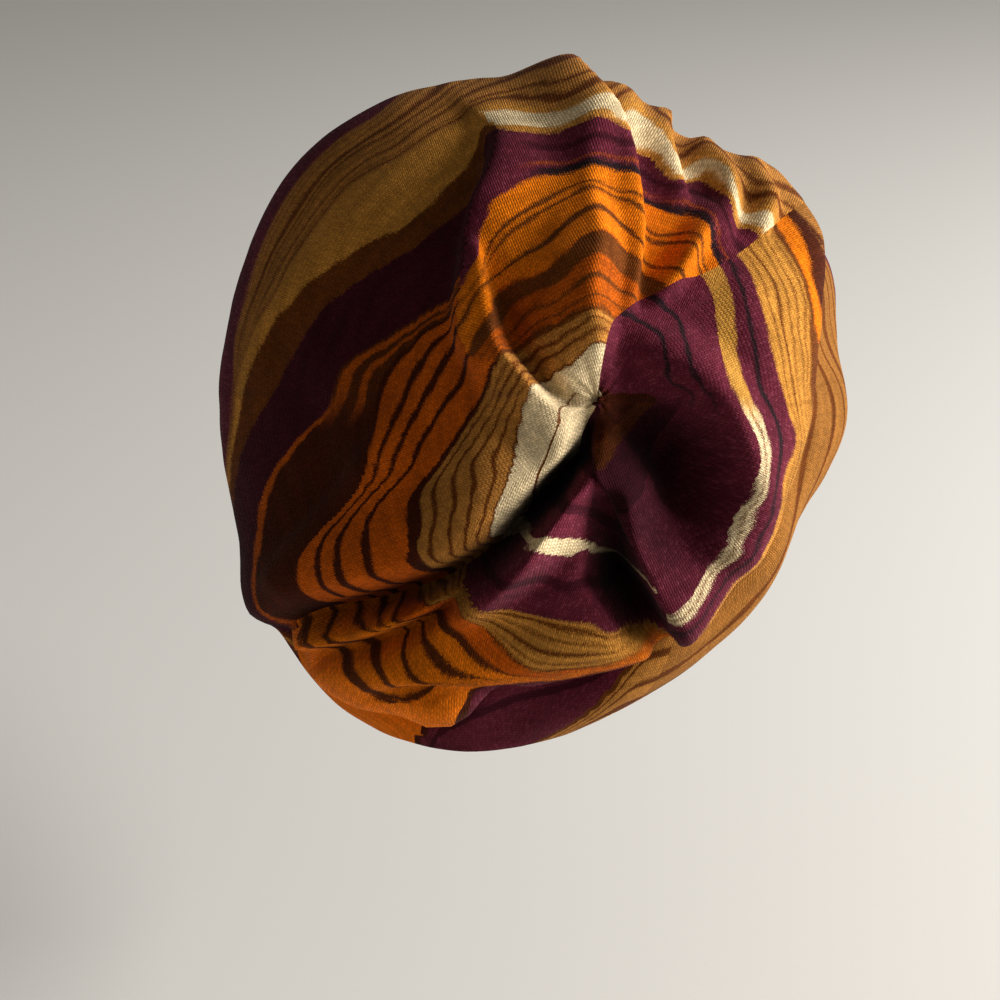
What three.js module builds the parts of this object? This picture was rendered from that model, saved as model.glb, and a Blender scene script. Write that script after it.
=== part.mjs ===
// A slouchy knitted beanie as it sits on a head, seen best from behind.
// One tube of striped jersey, gathered to a point at the back of a full bag.
// The bag is folded round the gather, hangs over the nape and runs down to a plain rim.
// Millimetres, +Z up, the wearer faces +Y, origin at the middle of the rim opening.
import * as THREE from 'three';

// The wall: jersey with its fluff, and the pleats that stand in it.
const WALL = 2;

// The rim: an oval round the head, lower at the nape than at the brow and on the left than on
// the right.
const RIM = { across: 150, deep: 172, tilt: 20, roll: 7, napeBearing: 262 };

// The gather: its place, and the way it faces, raised from level and turned to the left.
const GATHER = new THREE.Vector3(30, -90, 101);
const GATHER_RAISED = 21.3;
const GATHER_TURNED = 2.8;

// Radii and fold lines are drawn as they look from SIGHT in front of the gather, at the scale
// of a plane PLANE behind it, so what stands nearer is drawn a little smaller.
const SIGHT = 665;
const PLANE = 85;

// The mesh: columns round the gather, rows over the bag and rows from its edge to the rim.
// The columns crowd together where the folds are, at a bearing and opposite it.
const COLUMNS = 100;
const CROWDING = { share: 0.4, bearing: 75 };
const BAG_ROWS = 18;
const WALL_ROWS = 9;
const POLE_ANGLE = 0.06;
const NARROWEST_FOOT_SHARE = 0.12;
const LINE_STEPS = 80;

// The edge of the bag: bearing round the gather from +X, radius, and drop behind the gather.
const EDGE = [
  { bearing: 0, radius: 74.5, drop: 40 },
  { bearing: 12, radius: 76.5, drop: 40 },
  { bearing: 24, radius: 84, drop: 42 },
  { bearing: 36, radius: 91, drop: 48 },
  { bearing: 43, radius: 95, drop: 60 },
  { bearing: 51, radius: 102, drop: 80 },
  { bearing: 65, radius: 95, drop: 85 },
  { bearing: 76, radius: 95, drop: 86 },
  { bearing: 96, radius: 110, drop: 86 },
  { bearing: 108, radius: 115, drop: 86 },
  { bearing: 125, radius: 127, drop: 85 },
  { bearing: 142, radius: 134, drop: 84 },
  { bearing: 165, radius: 132, drop: 83 },
  { bearing: 200, radius: 133, drop: 78 },
  { bearing: 212, radius: 141, drop: 70 },
  { bearing: 236, radius: 137, drop: 50 },
  { bearing: 241, radius: 126, drop: 46 },
  { bearing: 247, radius: 107, drop: 36 },
  { bearing: 258, radius: 97, drop: 28 },
  { bearing: 270, radius: 92, drop: 24 },
  { bearing: 290, radius: 84, drop: 24 },
  { bearing: 312, radius: 75, drop: 30 },
  { bearing: 330, radius: 69, drop: 35 },
];

// From the edge of the bag to the rim: how far the cloth runs straight back (back) and tucks in
// (tuck) at the edge, and how far it rises (rise) and flares (flare) from the rim.
const RETURN = [
  { bearing: 10, back: 26, tuck: 22, rise: 84, flare: 112 },
  { bearing: 36, back: 28, tuck: 20, rise: 108, flare: 146 },
  { bearing: 52, back: 40, tuck: 0, rise: 80, flare: 78 },
  { bearing: 95, back: 75, tuck: 0, rise: 75, flare: 8 },
  { bearing: 140, back: 60, tuck: 0, rise: 60, flare: 15 },
  { bearing: 185, back: 32, tuck: 0, rise: 34, flare: 25 },
  { bearing: 210, back: 18, tuck: 0, rise: 16, flare: 14 },
  { bearing: 226, back: 10, tuck: 0, rise: 8, flare: 8 },
  { bearing: 240, back: 9, tuck: 4, rise: 12, flare: 5 },
  { bearing: 260, back: 12, tuck: 10, rise: 22, flare: 4 },
  { bearing: 300, back: 28, tuck: 6, rise: 30, flare: 56 },
  { bearing: 330, back: 22, tuck: 16, rise: 54, flare: 70 },
];

// The swirl of the cloth round the gather: how far a line of it that crosses the middle of the
// bag at a bearing turns on its way in to the gather (inner) and out to the edge (outer).
const SWIRL = [
  { bearing: 47, inner: 40, outer: -5 },
  { bearing: 90, inner: 0, outer: 4 },
  { bearing: 134, inner: 38, outer: -4 },
  { bearing: 180, inner: 34, outer: -10 },
  { bearing: 232, inner: 30, outer: -18 },
  { bearing: 262, inner: 12, outer: -14 },
  { bearing: 290, inner: 0, outer: 0 },
  { bearing: 340, inner: 0, outer: 0 },
];
const SWIRL_RADII = { gather: 20, middle: 62, edge: 130 };
const SWIRL_ROUNDS = 8;

// The folds: a line of [right, up] places about the gather, heights at its start, middle and end,
// the width of its foot on the left and on the right of the line, and how fast its ends fade.
// A hollow has heights below zero.
const FOLDS = [
  { name: 'orange_ridge', line: [[0, 5], [1, 20], [-1, 34], [1, 49], [-2, 64], [-4, 87]],
    height: [6, 16, 4], left: 38, right: 13, fade: 12 },
  { name: 'orange_edge', line: [[12, 34], [15, 48], [16, 60], [12, 82], [6, 98], [-5, 110], [-18, 140]],
    height: [5, 10, 8], left: 20, right: 5, fade: 10 },
  { name: 'orange_flank', line: [[-40, 12], [-45, 22], [-45, 34], [-44, 46], [-36, 72], [-31, 90]],
    height: [5, 10, 4], left: 16, right: 24, fade: 12 },
  { name: 'second_crest', line: [[26, 70], [23, 78], [19, 88], [18, 112]],
    height: [3, 6, 4], left: 8, right: 5, fade: 8 },
  { name: 'small_orange', line: [[19, 36], [26, 43], [32, 54], [36, 65]],
    height: [4, 8, 4], left: 11, right: 10, fade: 8 },
  { name: 'plum_wave', line: [[40, 58], [43, 68], [41, 77], [33, 86]],
    height: [4, 7, 4], left: 7, right: 7, fade: 6 },
  { name: 'gold_wave', line: [[54, 60], [56, 68], [51, 80]],
    height: [4, 6, 3], left: 7, right: 6, fade: 6 },
  { name: 'pale_ridge', line: [[-5, -3], [-11, -2], [-17, 4], [-27, 15], [-36, 34], [-40, 46]],
    height: [4, 10, 3], left: 22, right: 5, fade: 6 },
  { name: 'gold_face', line: [[-40, 12], [-40, -10], [-44, -32], [-50, -50]],
    height: [2, 7, 5], left: 24, right: 28, fade: 14 },
  { name: 'left_face', line: [[-89, 11], [-78, -12], [-74, -36], [-84, -55]],
    height: [2, 5, 3], left: 22, right: 22, fade: 20 },
  { name: 'left_roll', line: [[-13, -24], [-34, -45], [-58, -56], [-83, -62], [-125, -72]],
    height: [4, 8, 3], left: 6, right: 24, fade: 10 },
  { name: 'upper_crease', line: [[-9, -24], [-30, -48], [-55, -62], [-76, -69], [-122, -77]],
    height: [-5, -8, -4], left: 4, right: 4, fade: 8 },
  { name: 'thin_roll', line: [[-13, -31], [-31, -50], [-53, -66], [-69, -74], [-90, -80], [-122, -84]],
    height: [3, 7, 3], left: 5, right: 5, fade: 8 },
  { name: 'lower_crease', line: [[-12, -36], [-30, -58], [-50, -72], [-68, -80], [-108, -89]],
    height: [-5, -7, -3], left: 4, right: 5, fade: 8 },
  { name: 'plum_ridge', line: [[-1, -26], [-3, -38], [-9, -50], [-17, -61], [-46, -79]],
    height: [6, 11, 4], left: 12, right: 15, fade: 12 },
  { name: 'bottom_roll', line: [[-100, -98], [-70, -96], [-40, -90], [-10, -84], [15, -82]],
    height: [2, 6, 4], left: 14, right: 12, fade: 14 },
  { name: 'flap_edge', line: [[2, -6], [3, -22], [8, -33], [15, -46], [23, -63], [31, -82]],
    height: [4, 11, 6], left: 28, right: 4, fade: 8 },
  { name: 'flap_rim', line: [[51, 35], [58, 10], [61, -10], [58, -35], [48, -56], [33, -78]],
    height: [2, 4, 3], left: 14, right: 14, fade: 20 },
  { name: 'bowl', line: [[6, -5], [19, -11], [31, -22], [35, -36]],
    height: [-9, -22, -10], left: 20, right: 21, fade: 18 },
  { name: 'pit', line: [[-1, -9], [-3, -18], [-4, -28]],
    height: [-8, -15, -8], left: 9, right: 9, fade: 8 },
  { name: 'pocket', line: [[6, -38], [13, -56], [19, -75]],
    height: [-5, -10, -7], left: 10, right: 13, fade: 10 },
];

// The share of the way from the edge of the bag to the rim where the last folds end.
const FOLD_END = 0.45;

// Soft waves in the cloth between the edge of the bag and the rim.
const DRAPE = { height: 1.8, count: 11, slant: 2.4 };

const rad = THREE.MathUtils.degToRad;
const clamp = THREE.MathUtils.clamp;

// The gather's own directions: out of it, to its right and up.
const OUT = new THREE.Vector3(
  -Math.cos(rad(GATHER_RAISED)) * Math.sin(rad(GATHER_TURNED)),
  -Math.cos(rad(GATHER_RAISED)) * Math.cos(rad(GATHER_TURNED)),
  Math.sin(rad(GATHER_RAISED)),
);
const RIGHT = new THREE.Vector3(0, 0, 1).cross(OUT).normalize();
const UP = OUT.clone().cross(RIGHT);

// Reads one column of a table at a bearing, with its corners softened.
const SOFTEN = [-5, -2.5, 0, 2.5, 5];

function readRow(table, column, bearing) {
  const at = THREE.MathUtils.euclideanModulo(bearing, 360);
  const after = table.findIndex((row) => row.bearing > at);
  const next = after === -1 ? 0 : after;
  const here = (next + table.length - 1) % table.length;
  const span = THREE.MathUtils.euclideanModulo(table[next].bearing - table[here].bearing, 360);
  const along = THREE.MathUtils.euclideanModulo(at - table[here].bearing, 360) / span;
  return THREE.MathUtils.lerp(table[here][column], table[next][column], along);
}

function around(table, column, bearing) {
  const sum = SOFTEN.reduce((total, shift) => total + readRow(table, column, bearing + shift), 0);
  return sum / SOFTEN.length;
}

// The direction from the gather axis at a bearing.
function ray(bearing) {
  return RIGHT.clone()
    .multiplyScalar(Math.cos(rad(bearing)))
    .addScaledVector(UP, Math.sin(rad(bearing)));
}

// A place on the bag, by its drawn radius and its drop behind the gather.
function bagPoint(bearing, radius, drop) {
  const taper = (SIGHT + drop) / (SIGHT + PLANE);
  return GATHER.clone()
    .addScaledVector(ray(bearing), radius * taper)
    .addScaledVector(OUT, -drop);
}

// The curve from the edge of the bag back to the rim.
function returnCurve(bearing, edge) {
  const turn = rad(bearing - RIM.napeBearing);
  const outward = new THREE.Vector3(Math.sin(turn), -Math.cos(turn), 0);
  const aside = (Math.sin(turn) * RIM.across) / 2;
  const behind = (-Math.cos(turn) * RIM.deep) / 2;
  const rim = new THREE.Vector3(
    aside * Math.cos(rad(RIM.roll)),
    behind * Math.cos(rad(RIM.tilt)),
    behind * Math.sin(rad(RIM.tilt)) + aside * Math.sin(rad(RIM.roll)),
  );
  const leave = edge
    .clone()
    .addScaledVector(OUT, -around(RETURN, 'back', bearing))
    .addScaledVector(ray(bearing), -around(RETURN, 'tuck', bearing));
  const arrive = rim
    .clone()
    .addScaledVector(outward, around(RETURN, 'flare', bearing));
  arrive.z += around(RETURN, 'rise', bearing);
  return new THREE.CubicBezierCurve3(edge, leave, arrive, rim);
}

// The bearing that a line of the cloth has at a drawn radius.
function swirled(bearing, radius) {
  const { gather, middle, edge } = SWIRL_RADII;
  const inward = clamp((middle - radius) / (middle - gather), 0, 1);
  const outward = clamp((radius - middle) / (edge - middle), 0, 1);
  return bearing + around(SWIRL, 'inner', bearing) * inward + around(SWIRL, 'outer', bearing) * outward;
}

// The place on a line of the cloth at an angle over the bag, 0 at the gather and a quarter turn
// at the edge. The radius depends on the bearing and the bearing on the radius, so both are
// found in rounds.
function bagPlace(line, angle) {
  let bearing = line;
  for (let round = 0; round < SWIRL_ROUNDS; round += 1) {
    const radius = around(EDGE, 'radius', bearing) * Math.sin(angle);
    bearing = (bearing + swirled(line, radius)) / 2;
  }
  const radius = around(EDGE, 'radius', bearing) * Math.sin(angle);
  const drop = around(EDGE, 'drop', bearing) * (1 - Math.cos(angle));
  return { point: bagPoint(bearing, radius, drop), bearing, radius, share: 0 };
}

// The bearing of a column of the mesh, crowded where the folds are.
function lineBearing(index) {
  const even = (360 * index) / COLUMNS;
  const shift = (CROWDING.share / 2) * Math.sin(2 * rad(even - CROWDING.bearing));
  return even - THREE.MathUtils.radToDeg(shift);
}

// One line of the smooth form from the gather to the rim: points, bearings, drawn radii and
// shares of the way from the edge of the bag to the rim.
function column(line) {
  const rows = [];
  for (let row = 0; row <= BAG_ROWS; row += 1) {
    rows.push(bagPlace(line, THREE.MathUtils.lerp(POLE_ANGLE, Math.PI / 2, row / BAG_ROWS)));
  }
  const { point: edge, bearing } = rows[BAG_ROWS];
  const curve = returnCurve(bearing, edge);
  for (let row = 1; row <= WALL_ROWS; row += 1) {
    const above = rows[rows.length - 1];
    const share = row / WALL_ROWS;
    const point = curve.getPoint(share);
    rows.push({ point, bearing, radius: above.radius + point.distanceTo(above.point), share });
  }
  return rows;
}

// A fold's line as close places with the direction that it runs in.
function foldLine(fold) {
  const spline = new THREE.SplineCurve(fold.line.map(([x, y]) => new THREE.Vector2(x, y)));
  return Array.from({ length: LINE_STEPS + 1 }, (_, step) => {
    const share = step / LINE_STEPS;
    return { at: spline.getPoint(share), way: spline.getTangent(share), share };
  });
}

const FOLD_LINES = FOLDS.map((fold) => ({ ...fold, steps: foldLine(fold) }));

// How far one fold lifts the cloth at a place: a rounded crest that falls to its foot each side.
function foldLift(fold, place) {
  const nearest = fold.steps.reduce((best, step) =>
    step.at.distanceToSquared(place) < best.at.distanceToSquared(place) ? step : best);
  const offset = place.clone().sub(nearest.at);
  const across = nearest.way.cross(offset);
  const beyond = nearest.share === 0 ? -nearest.way.dot(offset) : nearest.way.dot(offset);
  const atEnd = nearest.share === 0 || nearest.share === 1;
  const fade = THREE.MathUtils.smoothstep(atEnd ? 1 - beyond / fold.fade : 1, 0, 1);
  const foot = Math.max(across > 0 ? fold.left : fold.right, NARROWEST_FOOT_SHARE * place.length());
  const crest = (1 + Math.cos(Math.PI * clamp(Math.abs(across) / foot, 0, 1))) / 2;
  const [start, middle, end] = fold.height;
  const height = nearest.share < 0.5
    ? THREE.MathUtils.lerp(start, middle, nearest.share * 2)
    : THREE.MathUtils.lerp(middle, end, nearest.share * 2 - 1);
  return height * crest * fade;
}

// The whole lift at a place: every fold, and the soft waves below the bag.
function lift({ radius, bearing, share }) {
  const place = new THREE.Vector2(Math.cos(rad(bearing)), Math.sin(rad(bearing))).multiplyScalar(radius);
  const folds = FOLD_LINES.reduce((total, fold) => total + foldLift(fold, place), 0);
  const kept = 1 - THREE.MathUtils.smoothstep(share, 0, FOLD_END);
  const wave = Math.cos(DRAPE.count * rad(bearing) + DRAPE.slant * share);
  return folds * kept + DRAPE.height * Math.sin(Math.PI * share) * wave;
}

// The normal of the smooth form from its neighbours along the column and across the columns.
function normalAt(columns, index, row) {
  const own = columns[index];
  const down = own[Math.min(row + 1, own.length - 1)].point
    .clone()
    .sub(own[Math.max(row - 1, 0)].point);
  const left = columns[(index + 1) % columns.length][row].point;
  const right = columns[(index + columns.length - 1) % columns.length][row].point;
  return down.cross(left.clone().sub(right)).normalize();
}

// The wall as one closed skin: the outside, the inside, and the rim between them.
function crownGeometry() {
  const columns = Array.from({ length: COLUMNS }, (_, index) => column(lineBearing(index)));
  const rows = columns[0].length;
  const outside = [];
  const inside = [];
  for (let row = 0; row < rows; row += 1) {
    for (let index = 0; index < COLUMNS; index += 1) {
      const place = columns[index][row];
      const normal = normalAt(columns, index, row);
      const height = lift(place);
      outside.push(place.point.clone().addScaledVector(normal, height));
      inside.push(place.point.clone().addScaledVector(normal, height - WALL));
    }
  }
  const middle = (ring) => ring
    .slice(0, COLUMNS)
    .reduce((sum, point) => sum.add(point), new THREE.Vector3())
    .divideScalar(COLUMNS);
  const points = [...outside, ...inside, middle(outside), middle(inside)];
  const insideStart = outside.length;
  const outsidePole = outside.length + inside.length;
  const insidePole = outsidePole + 1;
  const faces = [];
  for (let index = 0; index < COLUMNS; index += 1) {
    const next = (index + 1) % COLUMNS;
    faces.push(outsidePole, index, next);
    faces.push(insidePole, insideStart + next, insideStart + index);
    for (let row = 0; row < rows - 1; row += 1) {
      const a = row * COLUMNS + index;
      const b = row * COLUMNS + next;
      const c = b + COLUMNS;
      const d = a + COLUMNS;
      faces.push(a, d, c, a, c, b);
      const [ia, ib, ic, id] = [a, b, c, d].map((corner) => corner + insideStart);
      faces.push(ia, ic, id, ia, ib, ic);
    }
    const last = (rows - 1) * COLUMNS;
    const [o, p] = [last + index, last + next];
    faces.push(o, o + insideStart, p + insideStart, o, p + insideStart, p);
  }
  const geometry = new THREE.BufferGeometry();
  const places = points.flatMap((point) => point.toArray());
  geometry.setAttribute('position', new THREE.Float32BufferAttribute(places, 3));
  geometry.setIndex(faces);
  geometry.computeVertexNormals();
  return geometry;
}

// The colour between the orange, plum and gold stripes.
const JERSEY = new THREE.MeshStandardMaterial({ color: 0x8a5220, roughness: 0.95, metalness: 0 });

const crown = new THREE.Mesh(crownGeometry(), JERSEY);
crown.name = 'crown';

const beanie = new THREE.Group();
beanie.add(crown);

export default beanie;
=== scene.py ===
"""The looks of a slouchy striped beanie.

One tube of jersey is gathered to a point at the back. The crown swells round the gather into a
folded bag, hangs over the nape and runs down to a plain rim. Sizes are millimetres until a mesh
is made, and metres from there on.
"""
import logging
import math
from dataclasses import dataclass
from enum import Enum
from functools import partial
from typing import Any, Sequence

import bpy
import numpy as np
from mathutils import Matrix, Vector


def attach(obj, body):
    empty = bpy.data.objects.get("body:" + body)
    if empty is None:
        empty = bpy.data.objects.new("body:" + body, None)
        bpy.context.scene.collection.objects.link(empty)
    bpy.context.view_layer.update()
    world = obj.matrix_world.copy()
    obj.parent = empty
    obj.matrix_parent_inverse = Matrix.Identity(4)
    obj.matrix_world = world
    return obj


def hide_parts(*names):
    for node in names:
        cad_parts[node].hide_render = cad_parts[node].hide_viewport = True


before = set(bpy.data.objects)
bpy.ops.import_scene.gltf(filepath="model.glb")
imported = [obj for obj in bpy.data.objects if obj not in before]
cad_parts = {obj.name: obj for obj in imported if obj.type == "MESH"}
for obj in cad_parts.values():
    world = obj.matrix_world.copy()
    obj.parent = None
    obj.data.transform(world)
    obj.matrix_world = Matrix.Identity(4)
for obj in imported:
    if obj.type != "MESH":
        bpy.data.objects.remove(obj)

log = logging.getLogger("beanie")

MM = 0.001
SOFTEN = (-5.0, -2.5, 0.0, 2.5, 5.0)
TINY = 1e-9


class Yarn(Enum):
    """The yarns of the stripes, as they look in plain light, and two copies of orange with painted light
    and shade.
    """

    PLUM = "63212F"
    DEEP_PLUM = "43131E"
    CHARCOAL = "2B1A1E"
    CREAM = "EACFA0"
    HONEY = "C88E3C"
    GOLD = "C68636"
    TAN = "B57733"
    SAND = "9C652B"
    BROWN = "6B3710"
    UMBER = "5A2A0C"
    DARK_BROWN = "471B08"
    ORANGE = "E2740A"
    # Painted shade: a darker, redder copy of orange, for orange that faces away from the light.
    SHADED_ORANGE = "C6590A"
    # Painted light: a brighter copy of orange, for the nose where the light falls on it.
    LIT_ORANGE = "F67C10"
    RUST = "B5520A"


def linear(code: str) -> tuple[float, float, float, float]:
    """Turns an sRGB hex code into linear colour.

    Args:
        code: six hex digits.

    Returns:
        Red, green, blue and alpha.
    """
    parts = [int(code[k:k + 2], 16) / 255 for k in (0, 2, 4)]
    red, green, blue = (c / 12.92 if c <= 0.04045 else ((c + 0.055) / 1.055) ** 2.4 for c in parts)
    return red, green, blue, 1.0


@dataclass(frozen=True)
class Gather:
    """The point where the tube is drawn together, and the way that it faces.

    Radii and fold lines are drawn as they look from sight in front of the gather, at the scale of
    a plane behind it, so what stands nearer is drawn a little smaller.
    """

    place: tuple[float, float, float] = (30.2, -90.1, 100.7)
    raised: float = 21.3
    turned: float = 2.8
    sight: float = 665.0
    plane: float = 85.0

    def directions(self) -> tuple[np.ndarray, np.ndarray, np.ndarray]:
        """Works out the gather's own directions.

        Returns:
            Unit vectors out of the gather, to its right and up.
        """
        raised = math.radians(self.raised)
        turned = math.radians(self.turned)
        level = math.cos(raised)
        out = np.array([-level * math.sin(turned), -level * math.cos(turned), math.sin(raised)])
        right = np.cross([0.0, 0.0, 1.0], out)
        right = right / np.linalg.norm(right)
        return out, right, np.cross(out, right)

    def bag_point(self, bearing: np.ndarray, radius: np.ndarray, drop: np.ndarray) -> np.ndarray:
        """Places points of the bag.

        Args:
            bearing: degrees round the gather.
            radius: drawn radii.
            drop: distances behind the gather.

        Returns:
            Points, with the coordinates last.
        """
        out, right, up = self.directions()
        taper = (self.sight + drop) / (self.sight + self.plane)
        turn = np.radians(bearing)
        ray = np.cos(turn)[..., None] * right + np.sin(turn)[..., None] * up
        return np.array(self.place) + (radius * taper)[..., None] * ray - drop[..., None] * out


@dataclass(frozen=True)
class EdgeRow:
    """The edge of the bag at a bearing: its drawn radius and its drop behind the gather."""

    bearing: float
    radius: float
    drop: float


@dataclass(frozen=True)
class ReturnRow:
    """The way from the edge of the bag to the rim: handles of one smooth curve.

    The cloth runs back and tucks in at the edge, and rises and flares from the rim.
    """

    bearing: float
    back: float
    tuck: float
    rise: float
    flare: float


@dataclass(frozen=True)
class SwirlRow:
    """How far a line of the cloth turns on its way in to the gather and out to the edge."""

    bearing: float
    inner: float
    outer: float


@dataclass(frozen=True)
class Fold:
    """A fold or hollow: a line about the gather with heights, feet and a lean to its steep side.

    A hollow that is not moved leaves the cloth in place and only adds painted shade, as in the shelter of
    a fold.
    """

    name: str
    line: tuple[tuple[float, float], ...]
    height: tuple[float, float, float]
    left: float
    right: float
    lean: float = 0.0
    fade: float = 8.0
    moved: bool = True


@dataclass(frozen=True)
class StripeEdge:
    """The outer edge of a band of stripes: bearings, and the drawn radius that it has at each."""

    band: str
    line: tuple[tuple[float, float], ...]


EDGE = (
    EdgeRow(0, 74.5, 40), EdgeRow(12, 76.5, 40), EdgeRow(24, 84, 42), EdgeRow(36, 91, 48),
    EdgeRow(43, 95, 60), EdgeRow(51, 102, 80), EdgeRow(65, 95, 85), EdgeRow(76, 95, 86),
    EdgeRow(96, 110, 86), EdgeRow(108, 115, 86), EdgeRow(125, 127, 85), EdgeRow(142, 134, 84),
    EdgeRow(165, 132, 83), EdgeRow(200, 133, 78), EdgeRow(212, 141, 70), EdgeRow(236, 137, 50),
    EdgeRow(241, 126, 46), EdgeRow(247, 107, 36), EdgeRow(258, 97, 28), EdgeRow(270, 92, 24),
    EdgeRow(290, 84, 24), EdgeRow(312, 75, 30), EdgeRow(330, 69, 35),
)

RETURN = (
    ReturnRow(10, 26, 22, 84, 112), ReturnRow(36, 28, 20, 108, 146), ReturnRow(52, 40, 0, 80, 78),
    ReturnRow(95, 75, 0, 75, 8), ReturnRow(140, 60, 0, 60, 15), ReturnRow(185, 32, 0, 34, 25),
    ReturnRow(210, 18, 0, 16, 14), ReturnRow(226, 10, 0, 8, 8), ReturnRow(240, 9, 4, 12, 5),
    ReturnRow(260, 12, 10, 22, 4), ReturnRow(300, 28, 6, 30, 56), ReturnRow(330, 22, 16, 54, 70),
)

SWIRL = (
    SwirlRow(47, 40, -5), SwirlRow(90, 0, 4), SwirlRow(134, 38, -4), SwirlRow(180, 34, -10),
    SwirlRow(232, 30, -18), SwirlRow(262, 12, -14), SwirlRow(290, 0, 0), SwirlRow(340, 0, 0),
)

FOLDS = (
    Fold("orange ridge", ((-1, 5), (-2, 20), (-5, 34), (-4, 49), (-7, 64), (-9, 87)),
         (6, 19, 5), 44, 10, fade=12),
    Fold("orange edge", (
         (8, 34), (9.5, 48), (9, 60), (4, 81), (-4, 97), (-14, 110), (-20, 119), (-26, 140)),
         (5, 12, 4.5), 20, 6, lean=2, fade=10),
    Fold("shoulder", ((12, 90), (6, 104), (1, 122)), (2, 6, 9), 13, 10),
    Fold("right shoulder", ((66, 66), (74, 57), (81, 44)), (2, 4, 2), 10, 10),
    Fold("orange flank", (
         (-40, 12.5), (-45, 22), (-45, 34), (-44, 46), (-40, 62), (-36, 73), (-34, 86), (-41, 97),
         (-50, 106)),
         (5, 10, 2), 8, 24, lean=2, fade=10),
    Fold("second crest", ((25.7, 70), (22.6, 78), (19, 88), (18.7, 99), (18, 112)),
         (3, 6, 4), 8, 5, lean=2),
    Fold("small orange", ((19, 36), (25.7, 43.4), (32, 54), (36, 65)), (4, 8, 4), 9, 6, lean=2, fade=6),
    Fold("plum wave", ((40, 58), (43, 68), (41, 77), (33, 86)), (4, 7, 4), 7, 7, lean=1, fade=6),
    Fold("gold wave", ((54, 60), (56, 68), (51, 80)), (4, 6, 3), 7, 6, lean=1, fade=6),
    Fold("pale ridge", ((-6, -6), (-14, -6), (-21, 0), (-30, 11), (-34, 19), (-38, 32), (-41, 46)),
         (5, 14, 4), 18, 5, lean=3, fade=6),
    Fold("pale hollow", ((-3, 1), (-12, 1), (-20, 9), (-27, 20), (-31, 32)), (-4, -5, -2), 8, 6),
    Fold("gold face", ((-40, 12), (-40, -10), (-44, -32), (-50, -50)), (2, 7, 4), 24, 28, fade=14),
    Fold("brown kink", ((-56, 14), (-70, -8), (-77, -22), (-96, -44), (-108, -62)),
         (1, 4, 3), 16, 7, fade=10),
    Fold("left face", ((-89, 11), (-78, -12), (-74, -36), (-84, -55)), (2, 5, 3), 22, 22, fade=20),
    Fold("left swell", ((-54, 87), (-88, 59), (-113, 26), (-123, 4)), (1, 3, 1), 10, 14, fade=14),
    Fold("left roll", ((-13, -22), (-34, -42), (-58, -54.5), (-83, -62), (-104, -68), (-116, -74)),
         (4, 9, 4), 8, 26, fade=14),
    Fold("upper crease", (
         (-9, -24), (-30, -49), (-55, -65), (-76, -73), (-95, -78), (-107, -82), (-113, -92)),
         (-16, -17, -5), 7, 6, fade=10),
    Fold("thin roll", ((-40, -60), (-53, -70), (-69, -78), (-88, -84), (-103, -87)),
         (3, 8, 3), 6, 6, fade=10),
    Fold("lower crease", (
         (-15, -33), (-27, -50), (-39, -64), (-52, -75), (-68, -84), (-88, -91), (-104, -94)),
         (-8, -12, -5), 5, 6, fade=10),
    Fold("plum ridge", ((-3, -28), (-8, -38), (-16, -48), (-25, -57), (-35, -65), (-46, -72)),
         (6, 20, 11), 11, 8, lean=2, fade=9),
    Fold("bottom roll", ((-100, -98), (-70, -97), (-40, -92), (-10, -86), (15, -83)),
         (1, 9, 5), 11, 16, fade=14),
    Fold("nose", ((-46, -104), (-54, -114), (-62, -128)), (6, 15, 8), 9, 16, fade=9),
    Fold("nose crease", ((-74, -104), (-60, -100), (-46, -98), (-30, -97)), (-3, -6, -2), 4, 4),
    Fold("flap edge", ((1.7, -6), (3, -22), (8.3, -33), (14.6, -46.5), (23, -63), (31, -82)),
         (4, 3, 6), 22, 4, lean=3),
    Fold("flap rim", ((51, 35), (58, 10), (61, -10), (58, -35), (47.6, -56), (33, -78)),
         (2, 4, 3), 14, 14, fade=20),
    Fold("bowl lip", ((-1, 24), (14, 20), (30, 12), (42, 0), (48, -16), (48, -34), (44, -48)),
         (3, 10, 7), 16, 11, fade=12),
    Fold("bowl", ((6, -5), (19, -11), (30, -22), (33, -36), (31, -45)), (-9, -24, -9), 21, 20, fade=14),
    Fold("pit", ((-1, -8), (-4, -18), (-10, -27), (-19, -36), (-30, -45)), (-10, -20, -7), 9, 8),
    Fold("pocket floor", ((1, -61), (11, -68), (22, -78)), (-8, -16, -12), 9, 9),
    Fold("pocket", ((5, -36), (8, -49), (12, -62), (18, -76)), (-8, -22, -17), 9, 15, fade=8),
    # Painted shade only: these hollows darken the colour and do not move the cloth.
    Fold("flap painted shade", ((7, -23), (12, -32), (18, -42), (25, -52), (31, -61)),
         (-13, -20, -9), 13, 12, moved=False),
    Fold("pocket painted shade", ((6, -70), (16, -75), (27, -76)), (-8, -15, -13), 10, 10, moved=False),
)

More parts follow.
